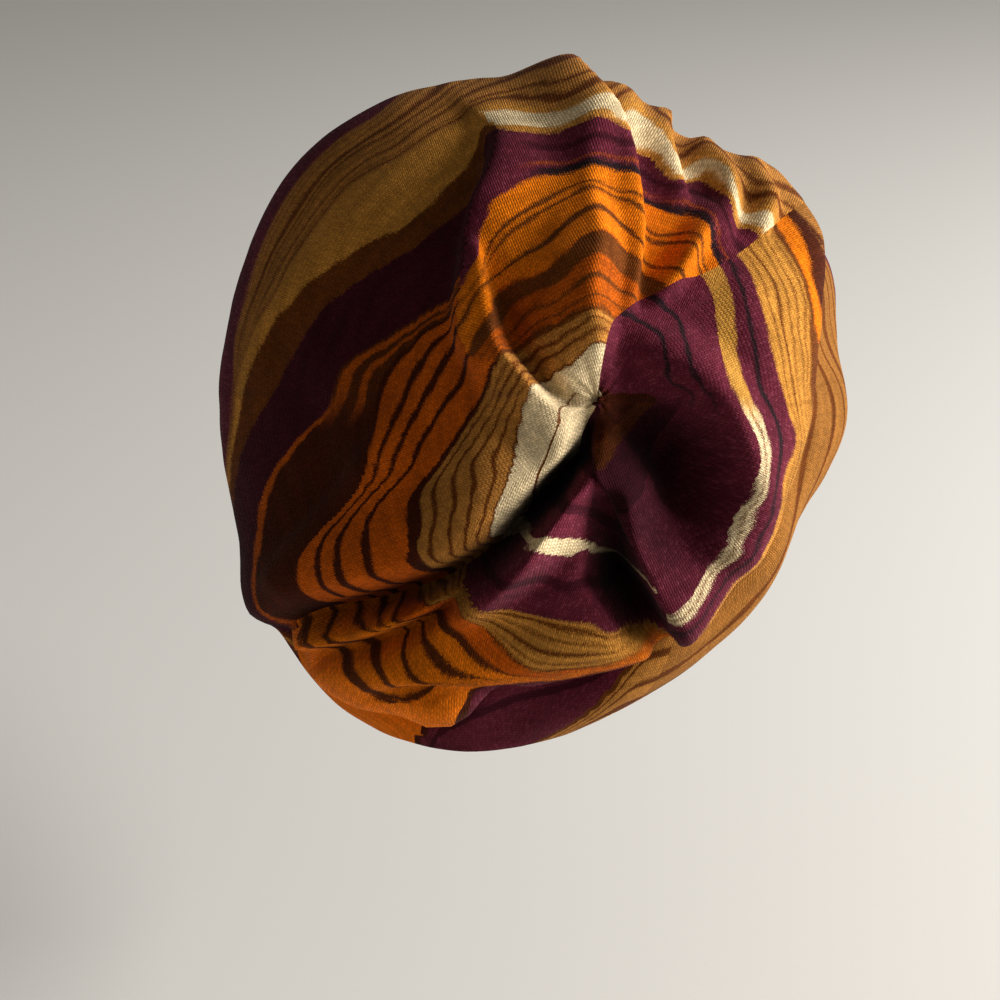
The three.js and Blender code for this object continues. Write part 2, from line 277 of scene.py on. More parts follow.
CREST_EDGES = (
    StripeEdge("cream heart", (
        (60, 4), (150, 6), (175, 8.5), (190, 11), (207, 15), (221, 18), (228, 24), (231, 29), (235, 38),
        (240, 50), (250, 62))),
    StripeEdge("cream", (
        (45, 17), (92, 18), (128, 14.5), (145, 16.5), (163, 20), (187, 25), (205, 29), (218, 34),
        (226, 43), (230, 53), (233, 61), (250, 70))),
    StripeEdge("tan", (
        (45, 26), (93, 28), (118, 27), (132, 29), (145, 32), (175, 38), (187, 43), (196, 50), (202, 57),
        (206, 65), (209, 73), (217, 76), (222, 83), (230, 88), (250, 92))),
    StripeEdge("smudge", (
        (45, 42), (78, 47), (90, 50), (96, 50), (102, 46), (114, 43), (125, 46.5), (134, 48.5), (145, 44),
        (160, 44), (175, 48), (187, 57), (202, 69), (209, 89), (217, 94), (250, 112))),
    StripeEdge("third line", (
        (45, 49), (80, 51.5), (87, 57), (92, 60), (98, 59), (103, 56), (111, 52.5), (139, 51), (150, 50),
        (160, 54), (175, 58), (187, 64.5), (202, 75), (209, 99), (217, 105), (250, 122))),
    StripeEdge("fourth line", (
        (45, 57), (65, 64), (72, 60), (84, 66), (98, 68.5), (111, 66), (125, 61), (134, 55), (142, 53),
        (150, 54), (160, 60), (187, 70), (202, 80), (209, 106), (217, 113), (250, 130))),
    StripeEdge("orange", (
        (45, 60), (55, 65.5), (61, 67.5), (65, 70.5), (70, 68), (74, 69.5), (79, 70), (90, 72.2),
        (98, 73), (106, 73.7), (116, 70.5), (121, 68.5), (125, 64.5), (134, 58.5), (142, 55.5), (150, 58),
        (167, 70), (175, 75), (190, 77), (198, 79), (202, 85), (205, 93), (209, 114), (213, 119),
        (230, 132), (250, 136))),
    StripeEdge("dark", (
        (45, 62), (55, 67), (61, 69), (65, 72), (70, 69.7), (74, 71.3), (79, 72), (90, 74.4), (105, 75.8),
        (112, 74.5), (121, 70.5), (134, 60), (142, 57), (150, 63.5), (158, 69), (167, 78), (173, 88),
        (183, 92), (190, 109), (196, 121), (200, 126), (212, 136), (230, 146), (250, 150))),
    StripeEdge("plum", (
        (45, 78), (49, 78), (54, 75.5), (58, 78.5), (64, 83.5), (67, 84), (72, 75), (77, 80), (81, 86.5),
        (85, 85), (89, 83), (91, 86.5), (98, 87), (101, 88.3), (110, 90), (113, 97), (115, 100),
        (117, 89), (119, 80), (141, 82.5), (149, 88), (160, 98.5), (167, 104), (178, 111), (187, 123.5),
        (193, 130), (212, 142), (250, 154))),
    StripeEdge("brown", (
        (45, 79.3), (49, 79.3), (54, 76.8), (58, 79.8), (64, 84.8), (67, 85.3), (72, 76.3), (77, 81.3),
        (81, 87.8), (85, 86.5), (89, 84.5), (91, 88), (98, 88.5), (101, 90), (110, 93), (113, 99),
        (115, 101.5), (117.5, 94), (131, 88.5), (139, 89), (145, 94.5), (162, 109.5), (170, 116.5),
        (187, 128), (200, 136), (212, 144), (250, 156))),
    StripeEdge("gold", (
        (45, 85), (50, 84.6), (54, 80.2), (58, 83), (62, 86), (66, 88), (69, 89), (72, 83), (75, 84),
        (78, 88), (81, 94), (85, 102), (89, 95), (92, 97), (95, 95), (99, 95), (107, 104), (114, 106.5),
        (129, 106.5), (141, 113.5), (156, 114), (162, 115.5), (178, 125.5), (187, 129), (200, 137),
        (212, 145), (250, 157))),
    StripeEdge("lined tan", (
        (42, 125), (72, 125), (90, 140), (104, 138), (112, 128), (128, 124.5), (140, 128.5), (157, 129),
        (177, 126.5), (187, 129.3), (200, 138), (212, 146), (250, 158))),
    StripeEdge("plum strip", (
        (42, 150), (90, 160), (112, 150), (187, 150), (200, 152), (212, 165), (250, 178))),
)
NAPE_EDGES = (
    StripeEdge("plum heart", ((205, 31), (229, 27), (250, 25), (262, 25), (285, 30), (295, 32))),
    StripeEdge("plum", (
        (205, 66), (229, 62), (236, 58), (242, 55), (244, 55), (246, 53), (249, 50), (252, 47.7),
        (258, 48.2), (263, 48.8), (266, 50), (268, 51), (273, 56.8), (281, 65.4), (295, 67))),
    StripeEdge("cream", (
        (205, 67), (229, 65), (236, 65), (240, 62), (242.5, 56), (246, 53.4), (249, 51.5), (252, 51),
        (256, 53.5), (261, 55.3), (264, 53), (266, 51.3), (268, 52.4), (273, 58.2), (281, 66.8),
        (295, 68))),
    StripeEdge("second plum", (
        (205, 82), (226, 84), (232, 79), (237, 82), (242, 81.4), (248, 79), (255, 77.5), (270, 77.2),
        (277, 81), (284, 84.5), (295, 87))),
    StripeEdge("gold", (
        (205, 98), (226, 100), (231, 94), (235, 86), (238, 84.5), (244, 89.5), (251, 91), (258, 92),
        (266, 90), (275, 87.5), (285, 85), (295, 88))),
    StripeEdge("first line", (
        (205, 104), (226, 105), (231, 101), (234, 99.5), (240, 96.5), (246, 97), (251, 95.5), (258, 94),
        (266, 91), (281, 86.2), (295, 88.2))),
    StripeEdge("second line", (
        (205, 112), (224, 112), (229, 104), (236, 105.5), (241, 106), (245, 102), (251, 97), (258, 94.4),
        (266, 91.3), (281, 86.4), (295, 88.4))),
    StripeEdge("third line", (
        (205, 120), (222, 120), (227, 109), (229, 107), (234, 112.5), (238, 116), (241, 109), (245, 103),
        (251, 97.6), (258, 94.7), (266, 91.6), (281, 86.6), (295, 88.6))),
    StripeEdge("fourth line", (
        (205, 127), (220, 127), (227, 122), (233, 120), (236.5, 125), (238, 120), (241, 109.5),
        (245, 103.5), (251, 98), (258, 95), (266, 91.9), (281, 86.8), (295, 88.8))),
    StripeEdge("fifth line", (
        (205, 136), (218, 136), (222, 131), (228, 127), (233, 127), (236.5, 131), (238, 122), (241, 110),
        (245, 104), (251, 98.3), (258, 95.3), (266, 92.2), (281, 87), (295, 89))),
    StripeEdge("orange", (
        (205, 175), (232, 175), (238, 165), (241, 147), (243, 124), (244.5, 113), (247, 104), (250, 99.5),
        (255, 96.8), (263, 94), (269, 90.6), (281, 86.8), (295, 88.8))),
    StripeEdge("dark", (
        (205, 176), (232, 176), (238, 166), (241, 148), (243, 125), (244.5, 114), (250, 100.5),
        (255, 97.8), (263, 95), (281, 88), (295, 90))),
    StripeEdge("wall plum", (
        (205, 180), (237, 178), (255, 165), (265, 152), (270, 146.5), (277, 137.5), (280, 125),
        (282, 116), (283.5, 100), (285, 92), (295, 91))),
    StripeEdge("brown", (
        (205, 182), (237, 180), (255, 167), (265, 154), (270, 148), (277, 139), (282, 118), (285, 94),
        (295, 92))),
    StripeEdge("tan", ((205, 200), (295, 200))),
)
RIGHT_EDGES = (
    StripeEdge("brown heart", (
        (276, 22), (283, 23), (295, 20), (308, 18), (339, 18.5), (350, 20), (363, 22), (368, 17),
        (374, 10), (382, 5), (450, 3))),
    StripeEdge("plum", (
        (276, 75), (292, 75), (296, 73.5), (301, 70.5), (308, 66.5), (316, 62), (323, 59), (331, 56.3),
        (342, 54.2), (347, 52), (355, 46.8), (362, 43.3), (370, 42), (381, 44), (391, 47.5), (409, 56),
        (450, 56))),
    StripeEdge("cream", (
        (276, 78), (292, 78), (296, 76.5), (301, 73.5), (308, 69.3), (316, 64.8), (323, 61.8), (331, 59),
        (342, 57.2), (347, 55.8), (355, 52), (362, 49), (370, 48), (381, 50), (391, 53.5), (409, 62.5),
        (450, 62.5))),
    StripeEdge("second plum", (
        (276, 90), (294, 82), (307, 76), (314, 73), (321, 70), (329, 66.5), (337, 65.5), (347, 67.5),
        (352, 67), (358, 63.5), (364, 61), (380, 60.5), (393, 64.5), (405, 69), (450, 69))),
    StripeEdge("lined gold", (
        (276, 93), (299, 86), (320, 77), (337, 74), (350, 75), (359, 73.5), (367, 73.5), (381, 77.5),
        (392, 82), (404, 82.5), (450, 83))),
    StripeEdge("brown", (
        (276, 96), (320, 80), (350, 80), (381, 79), (390, 82.8), (400, 84.5), (450, 86))),
    StripeEdge("orange", (
        (276, 97), (320, 81), (350, 81.5), (367, 82), (381, 82), (390, 84.8), (400, 88.5), (450, 90))),
    StripeEdge("shaded brown", ((276, 104), (320, 88), (350, 87), (390, 90), (450, 95))),
    StripeEdge("lined tan", ((276, 180), (310, 170), (330, 165), (450, 165))),
    StripeEdge("plum strip", ((276, 200), (450, 190))),
)


def around(rows: Sequence[Any], column: str, bearing: np.ndarray) -> np.ndarray:
    """Reads one column of a table as a closed curve with soft corners.

    Args:
        rows: rows with a bearing and the column.
        column: the name of the column.
        bearing: degrees to read it at.

    Returns:
        The column's values at the bearings.
    """
    knots = np.array([row.bearing for row in rows], dtype=float)
    values = np.array([getattr(row, column) for row in rows], dtype=float)
    reads = [np.interp(bearing + shift, knots, values, period=360.0) for shift in SOFTEN]
    return sum(reads) / len(SOFTEN)


def eased(share: np.ndarray) -> np.ndarray:
    """Eases a share in and out.

    Args:
        share: shares, cut off below nothing and above the whole.

    Returns:
        The eased shares.
    """
    part = np.clip(share, 0, 1)
    return part * part * (3 - 2 * part)


def smooth_line(points: Sequence[tuple[float, float]], count: int) -> np.ndarray:
    """Draws a smooth line through a few points.

    Args:
        points: the points, in order.
        count: how many places to return.

    Returns:
        Places along the line, one a row.
    """
    knots = np.array(points, dtype=float)
    ends = np.vstack([2 * knots[0] - knots[1], knots, 2 * knots[-1] - knots[-2]])
    at = np.linspace(0.0, len(knots) - 1, count)
    span = np.minimum(at.astype(int), len(knots) - 2)
    part = (at - span)[:, None]
    a, b, c, d = (ends[span + k] for k in range(4))
    bend = (2 * a - 5 * b + 4 * c - d) * part ** 2 + (3 * b - a - 3 * c + d) * part ** 3
    return 0.5 * (2 * b + (c - a) * part + bend)


@dataclass(frozen=True)
class CrownSurface:
    """The surface as rows by columns: points, bearings, drawn radii and the painted shade of the hollows.
    """

    points: np.ndarray
    bearing: np.ndarray
    radius: np.ndarray
    crease: np.ndarray


@dataclass
class CrownForm:
    """The surface of the hat, worked out from the gather to the rim."""

    gather: Gather = Gather()
    columns: int = 336
    bag_rows: int = 92
    wall_rows: int = 46
    seam_bearing: float = 47.0
    rim_across: float = 150.0
    rim_deep: float = 172.0
    rim_tilt: float = 20.0
    rim_roll: float = 7.0
    nape_bearing: float = 262.0
    pole_angle: float = 1.2
    pole_sink: float = 6.0
    swirl_rounds: int = 8
    swirl_inward: tuple[tuple[float, ...], ...] = ((0, 20, 27, 39, 56, 70), (1.1, 1, 0.95, 0.5, 0.1, 0))
    swirl_outward: tuple[tuple[float, ...], ...] = ((70, 130), (0, 1))
    line_count: int = 160
    fold_end: float = 0.45
    drape_height: float = 1.8
    drape_count: int = 11
    drape_slant: float = 2.4
    pleat_height: float = 0.35
    pleat_count: int = 11
    pleat_reach: float = 13.0
    gather_reach: float = 8.0
    stripe_beyond: float = 22.0
    edge_soften: tuple[float, ...] = (-2.0, -1.0, 0.0, 1.0, 2.0)
    narrowest_band: float = 0.3
    # Hollows this deep get the full painted shade.
    crease_depth: float = 20.0

    def swirled(self, line: np.ndarray, radius: np.ndarray) -> np.ndarray:
        """Finds the bearing that lines of the cloth have at drawn radii.

        Args:
            line: each line's bearing at the middle of the bag.
            radius: drawn radii.

        Returns:
            Bearings in degrees.
        """
        inward = sum(np.interp(radius + shift, *self.swirl_inward) for shift in SOFTEN)
        outward = sum(np.interp(radius + shift, *self.swirl_outward) for shift in SOFTEN)
        turn = around(SWIRL, "inner", line) * inward + around(SWIRL, "outer", line) * outward
        return line + turn / len(SOFTEN)

    def bag(self) -> tuple[np.ndarray, np.ndarray, np.ndarray]:
        """Works out the bag from the gather to its edge.

        Returns:
            Points, bearings and drawn radii, rows by columns.
        """
        line = np.linspace(0.0, 360.0, self.columns + 1) + self.seam_bearing
        angle = np.linspace(math.radians(self.pole_angle), math.pi / 2, self.bag_rows)[:, None]
        bearing = np.tile(line, (self.bag_rows, 1))
        for _ in range(self.swirl_rounds):
            radius = np.sin(angle) * around(EDGE, "radius", bearing)
            bearing = 0.5 * (bearing + self.swirled(line, radius))
        radius = np.sin(angle) * around(EDGE, "radius", bearing)
        drop = (1 - np.cos(angle)) * around(EDGE, "drop", bearing)
        return self.gather.bag_point(bearing, radius, drop), bearing, radius

    def wall(self, edge: np.ndarray, bearing: np.ndarray) -> np.ndarray:
        """Works out the wall from the edge of the bag to the rim.

        Args:
            edge: points of the edge.
            bearing: their bearings.

        Returns:
            Points below the edge, rows by columns.
        """
        out, right, up = self.gather.directions()
        turn = np.radians(bearing)
        ray = np.cos(turn)[:, None] * right + np.sin(turn)[:, None] * up
        phase = np.radians(bearing - self.nape_bearing)
        tilt = math.radians(self.rim_tilt)
        roll = math.radians(self.rim_roll)
        aside = np.sin(phase) * self.rim_across / 2
        behind = -np.cos(phase) * self.rim_deep / 2
        raised = behind * math.sin(tilt) + aside * math.sin(roll)
        rim = np.stack([aside * math.cos(roll), behind * math.cos(tilt), raised], axis=1)
        outward = np.stack([np.sin(phase), -np.cos(phase), np.zeros_like(phase)], axis=1)
        back, tuck, rise, flare = (around(RETURN, name, bearing)[:, None]
                                   for name in ("back", "tuck", "rise", "flare"))
        leave = edge - out * back - ray * tuck
        arrive = rim + np.array([0.0, 0.0, 1.0]) * rise + outward * flare
        share = np.linspace(0.0, 1.0, self.wall_rows + 1)[1:, None, None]
        rest = 1 - share
        near = rest ** 3 * edge + 3 * rest ** 2 * share * leave
        return near + 3 * rest * share ** 2 * arrive + share ** 3 * rim

    def fold_lift(self, fold: Fold, x: np.ndarray,
                  y: np.ndarray) -> tuple[np.ndarray, np.ndarray, np.ndarray]:
        """Works out how one fold moves the cloth.

        Args:
            fold: the fold.
            x: drawn places to the right of the gather.
            y: drawn places above the gather.

        Returns:
            The lift along the cloth's normal, and the lean to the right and up.
        """
        line = smooth_line(fold.line, self.line_count)
        way = np.gradient(line, axis=0)
        way = way / np.linalg.norm(way, axis=1, keepdims=True)
        off_x = x[:, None] - line[None, :, 0]
        off_y = y[:, None] - line[None, :, 1]
        near = np.argmin(off_x ** 2 + off_y ** 2, axis=1)
        pick = np.arange(len(x))
        off_x = off_x[pick, near]
        off_y = off_y[pick, near]
        way_x, way_y = way[near, 0], way[near, 1]
        across = way_x * off_y - way_y * off_x
        along = way_x * off_x + way_y * off_y
        last = self.line_count - 1
        beyond = np.where(near == 0, -along, np.where(near == last, along, 0.0))
        kept = eased(1 - np.maximum(beyond, 0) / fold.fade)
        foot = np.where(across > 0, fold.left, fold.right)
        crest = 0.5 * (1 + np.cos(np.pi * np.clip(np.abs(across) / foot, 0, 1))) * kept
        lean = fold.lean * crest * (1.0 if fold.left < fold.right else -1.0)
        return np.interp(near / last, (0, 0.5, 1), fold.height) * crest, -way_y * lean, way_x * lean

    def build(self) -> CrownSurface:
        """Works out the whole surface, with the first column again at the end.

        Returns:
            The surface; row 0 is the gather's own point.
        """
        out, right, up = self.gather.directions()
        seen, bearing, radius = self.bag()
        hidden = self.wall(seen[-1], bearing[-1])
        base = np.concatenate([seen, hidden])
        steps = np.linalg.norm(np.diff(base[self.bag_rows - 1:], axis=0), axis=2)
        radius = np.concatenate([radius, radius[-1] + np.cumsum(steps, axis=0)])
        bearing = np.concatenate([bearing, np.tile(bearing[-1], (self.wall_rows, 1))])
        share = np.linspace(0, 1, self.wall_rows + 1)[1:]
        share = np.concatenate([np.zeros(self.bag_rows), share])[:, None]
        lift = np.zeros(radius.size)
        lean_x = np.zeros(radius.size)
        lean_y = np.zeros(radius.size)
        turn = np.radians(bearing)
        x = (radius * np.cos(turn)).ravel()
        y = (radius * np.sin(turn)).ravel()
        # Every hollow, moved or not, adds painted shade by its depth.
        hollow = np.zeros(radius.size)
        for fold in FOLDS:
            rise, to_right, to_up = self.fold_lift(fold, x, y)
            hollow -= np.minimum(rise, 0)
            if fold.moved:
                lift += rise
                lean_x += to_right
                lean_y += to_up
        kept = eased(1 - share / self.fold_end)
        drape = np.cos(self.drape_count * turn + self.drape_slant * share)
        drape = self.drape_height * np.sin(np.pi * share) * drape
        pleat = np.cos(self.pleat_count * turn) * np.exp(-(radius / self.pleat_reach) ** 2)
        pleat = self.pleat_height * pleat
        clear = 1 - np.exp(-(radius / self.gather_reach) ** 2)
        height = lift.reshape(radius.shape) * kept * clear + drape + pleat
        lean = (lean_x[:, None] * right + lean_y[:, None] * up).reshape(base.shape)
        points = base + self.normals(base) * height[..., None] + lean * (kept * clear)[..., None]
        points[:, -1] = points[:, 0]
        # Painted shade: the depth of the hollows, as a share of the depth that gets full shade.
        crease = np.clip(hollow.reshape(radius.shape) / self.crease_depth, 0, 1) * kept * clear
        pole = np.tile(points[0, :-1].mean(axis=0) - out * self.pole_sink, (1, self.columns + 1, 1))
        return CrownSurface(
            np.concatenate([pole, points]), np.concatenate([bearing[:1], bearing]),
            np.concatenate([0 * radius[:1], radius]), np.concatenate([crease[:1], crease]))

    @staticmethod
    def normals(base: np.ndarray) -> np.ndarray:
        """Works out the outward normals of the smooth form.

        Args:
            base: points, rows by columns, with the first column again at the end.

        Returns:
            Unit normals of the same shape.
        """
        wrapped = np.concatenate([base[:, -2:-1], base, base[:, 1:2]], axis=1)
        normal = np.cross(np.gradient(base, axis=0), wrapped[:, 2:] - wrapped[:, :-2])
        return normal / np.maximum(np.linalg.norm(normal, axis=2, keepdims=True), TINY)

    def line_bearing(self, name: str, radius: np.ndarray) -> np.ndarray:
        """Finds the bearing that a fold's line has at drawn radii.

        Args:
            name: the fold's name.
            radius: drawn radii.

        Returns:
            Bearings in degrees.
        """
        fold = next(fold for fold in FOLDS if fold.name == name)
        line = smooth_line(fold.line, self.line_count)
        reach = np.hypot(line[:, 0], line[:, 1])
        order = np.argsort(reach)
        turn = np.mod(np.degrees(np.arctan2(line[:, 1], line[:, 0])), 360.0)
        return np.interp(radius, reach[order], turn[order])

    def panel_number(self, bearing: np.ndarray, radius: np.ndarray) -> np.ndarray:
        """Finds the panel that each place lies in.

        Args:
            bearing: degrees, unbroken from the seam round to the seam.
            radius: drawn radii.

        Returns:
            Panel numbers, from the crest round to the right.
        """
        starts = [self.line_bearing(panel.from_fold, radius) for panel in PANELS[1:]]
        return sum((bearing > start).astype(int) for start in starts)

    def stripe_place(self, edges: Sequence[StripeEdge], bearing: np.ndarray,
                     radius: np.ndarray) -> tuple[np.ndarray, np.ndarray]:
        """Counts the bands between the gather and each place.

        Args:
            edges: the outer edges of the bands, from the gather outwards.
            bearing: degrees, unbroken from the seam round to the seam.
            radius: drawn radii.

        Returns:
            The band's number with the share of that band as its fraction, and bands per millimetre.
        """
        number = np.zeros_like(radius)
        rate = np.zeros_like(radius)
        start = np.zeros_like(radius)
        for edge in edges:
            knots, reach = np.array(edge.line, dtype=float).T
            end = sum(np.interp(bearing + shift, knots, reach) for shift in self.edge_soften)
            end = end / len(self.edge_soften)
            width = np.maximum(end - start, self.narrowest_band)
            number += np.clip((radius - start) / width, 0, 1)
            rate += np.where((radius >= start) & (radius < start + width), 1 / width, 0)
            start = np.maximum(end, start + self.narrowest_band)
        beyond = np.maximum(radius - start, 0)
        return number + beyond / self.stripe_beyond, rate + (beyond > 0) / self.stripe_beyond


Stripes = tuple[tuple[float, Yarn], ...]


@dataclass(frozen=True)
class Panel:
    """A part of the tube that starts at a fold, with its own stripes.

    Where it has later stripes, they take over between two bearings.
    """

    name: str
    from_fold: str
    edges: tuple[StripeEdge, ...]
    stripes: Stripes
    later: Stripes = ()
    change: tuple[float, float] = (0.0, 0.0)


def lined(band: float, ground: Yarn, line: Yarn, lines: Sequence[tuple[float, float]]) -> Stripes:
    """Draws lines in a band.

    Args:
        band: the band's number.
        ground: its yarn.
        line: the yarn of the lines.
        lines: the shares of the band where each line starts and ends.

    Returns:
        The stripes of the band.
    """
    stripes = [(band, ground)]
    for start, end in lines:
        stripes += [(band + start, line), (band + end, ground)]
    return tuple(stripe for stripe in stripes if stripe[0] < band + 1)


def front(band: float) -> Stripes:
    """Draws the stripes round the front of the hat, which no one sees from behind.

    Args:
        band: the number of the first band.

    Returns:
        The stripes from there on.
    """
    return (
        ((band, Yarn.PLUM),)
        + lined(band + 1, Yarn.ORANGE, Yarn.BROWN, ((0.3, 0.36), (0.62, 0.68)))
        + ((band + 2, Yarn.DARK_BROWN), (band + 2.82, Yarn.GOLD))
        + lined(band + 3, Yarn.PLUM, Yarn.CHARCOAL, ((0.4, 0.5),))
        + ((band + 4, Yarn.CREAM),)
        + lined(band + 4.2, Yarn.TAN, Yarn.BROWN, ((0.3, 0.36), (0.5, 0.56)))
        + ((band + 5, Yarn.PLUM),)
    )


LINED_TAN = (
    (0.06, 0.1), (0.16, 0.19), (0.27, 0.33), (0.42, 0.45), (0.52, 0.56), (0.64, 0.74), (0.84, 0.87),
    (0.93, 0.96),
)
BODY_LINE = ((0.7, 1.0),)
WALL_LINES = (
    (0.05, 0.07), (0.13, 0.16), (0.24, 0.26), (0.33, 0.37), (0.46, 0.48), (0.56, 0.62), (0.71, 0.73),
    (0.82, 0.86), (0.93, 0.95),
)
CREST_OUTER: Stripes = lined(11, Yarn.TAN, Yarn.BROWN, LINED_TAN) + front(12)
CREST: Stripes = (
    ((0, Yarn.CREAM), (1.93, Yarn.BROWN))
    + lined(2, Yarn.TAN, Yarn.BROWN, ((0.3, 0.38), (0.58, 0.66), (0.86, 1.0)))
    + lined(3, Yarn.RUST, Yarn.BROWN, ((0.1, 0.16), (0.34, 0.4), (0.62, 0.96)))
    + lined(4, Yarn.ORANGE, Yarn.BROWN, ((0.76, 1.0),))
    + lined(5, Yarn.ORANGE, Yarn.BROWN, ((0.62, 0.71), (0.86, 0.99)))
    + ((6, Yarn.ORANGE),)
)
CREST_CREAM: Stripes = ((9, Yarn.GOLD), (10, Yarn.CREAM), (10.8, Yarn.GOLD)) + CREST_OUTER
CREST_EDGED: Stripes = (
    ((7, Yarn.CHARCOAL),)
    + lined(8, Yarn.PLUM, Yarn.RUST, ((0.09, 0.13),))
    + ((8.5, Yarn.DEEP_PLUM), (8.66, Yarn.PLUM))
)
LEFT_INNER: Stripes = (
    ((0, Yarn.CREAM), (0.92, Yarn.BROWN), (1, Yarn.CREAM), (1.985, Yarn.BROWN))
    + lined(2.02, Yarn.TAN, Yarn.BROWN, ((0.12, 0.16), (0.3, 0.36), (0.5, 0.57), (0.68, 0.73)))
    + ((2.86, Yarn.DARK_BROWN),)
    # The left face's orange bands use the shaded copy of orange: painted shade.
    + sum((lined(band, Yarn.SHADED_ORANGE, Yarn.DARK_BROWN, ((start, 1.0),))
           for band, start in ((3, 0.82), (4, 0.7), (5, 0.66), (6, 0.72))), ())
)
LEFT_OUTER: Stripes = ((8, Yarn.DEEP_PLUM), (9, Yarn.BROWN), (10, Yarn.GOLD)) + CREST_OUTER
NAPE: Stripes = (
    ((0, Yarn.DEEP_PLUM), (1, Yarn.PLUM), (1.45, Yarn.DEEP_PLUM), (1.6, Yarn.PLUM), (2, Yarn.CREAM))
    + ((3, Yarn.PLUM), (3.4, Yarn.DEEP_PLUM), (3.55, Yarn.PLUM))
    + lined(4, Yarn.GOLD, Yarn.BROWN, ((0.12, 0.18), (0.32, 0.4), (0.54, 0.6), (0.74, 0.79), (0.91, 1.0)))
    # The body's first orange band uses the shaded copy of orange: painted shade.
    + lined(5, Yarn.SHADED_ORANGE, Yarn.UMBER, BODY_LINE)
    + sum((lined(band, Yarn.ORANGE, Yarn.UMBER, BODY_LINE) for band in range(6, 10)), ())
    # The nose band uses the lit copy of orange: painted light.
    + ((10, Yarn.LIT_ORANGE), (11, Yarn.DARK_BROWN))
    + lined(12, Yarn.PLUM, Yarn.DEEP_PLUM, ((0.42, 0.48),))
    + ((13, Yarn.BROWN),)
    + lined(14, Yarn.TAN, Yarn.BROWN, LINED_TAN)
    + front(14)[1:]
)
# Painted shade in the bowl: its heart, a gold-brown band, is dark brown turning umber, and its plum starts
# deep plum.
SHADED_BOWL: Stripes = ((0, Yarn.DARK_BROWN), (0.72, Yarn.UMBER), (1, Yarn.DEEP_PLUM), (1.3, Yarn.PLUM))
FLAP: Stripes = (
    (0, Yarn.DARK_BROWN), (1, Yarn.PLUM), (1.47, Yarn.CHARCOAL), (1.5, Yarn.PLUM),
    (1.645, Yarn.CHARCOAL), (1.685, Yarn.PLUM),
)
RIGHT_OUTER: Stripes = (
    lined(3, Yarn.PLUM, Yarn.CHARCOAL, ((0.4, 0.56),))
    + lined(4, Yarn.GOLD, Yarn.BROWN, ((0.16, 0.22), (0.36, 0.42), (0.55, 0.6), (0.74, 0.8), (0.9, 0.94)))
    + ((5, Yarn.BROWN), (6, Yarn.ORANGE), (7, Yarn.DARK_BROWN))
    + lined(8, Yarn.SAND, Yarn.BROWN, WALL_LINES)
    + front(9)[:9]
)
PANELS = (
    Panel("crest", "", CREST_EDGES,
          CREST + CREST_EDGED + CREST_CREAM,
          CREST + ((7, Yarn.PLUM),) + CREST_CREAM, (103, 112)),
    Panel("left", "orange flank", CREST_EDGES,
          LEFT_INNER + lined(7, Yarn.UMBER, Yarn.RUST, ((0.22, 0.42), (0.66, 0.92))) + LEFT_OUTER,
          LEFT_INNER + lined(7, Yarn.DARK_BROWN, Yarn.RUST, ((0.9, 1.0),)) + LEFT_OUTER, (178, 188)),
    Panel("nape", "upper crease", NAPE_EDGES, NAPE),
    Panel("right", "flap edge", RIGHT_EDGES,
          SHADED_BOWL + lined(2, Yarn.CREAM, Yarn.BROWN, ((0.46, 0.64),)) + RIGHT_OUTER,
          FLAP + ((2, Yarn.HONEY),) + RIGHT_OUTER, (350, 364)),
)


def add_node(tree: bpy.types.NodeTree, kind: str, feeds: Sequence[Any] | dict[Any, Any] = (),
             out: int | str = 0, **settings: Any) -> bpy.types.NodeSocket | None:
    """Adds one shader node.

    Args:
        tree: the material's node tree.
        kind: the node's type, after the word ShaderNode.
        feeds: its inputs, in order or by name: a socket is linked and a value is set.
        out: the output to return.
        settings: properties of the node.

    Returns:
        That output, or None from a node that has none.
    """
    node = tree.nodes.new("ShaderNode" + kind)
    for name, value in settings.items():
        setattr(node, name, value)
    for name, feed in feeds.items() if isinstance(feeds, dict) else enumerate(feeds):
        if isinstance(feed, bpy.types.NodeSocket):
            tree.links.new(feed, node.inputs[name])
        else:
            node.inputs[name].default_value = feed
    return node.outputs[out] if node.outputs else None


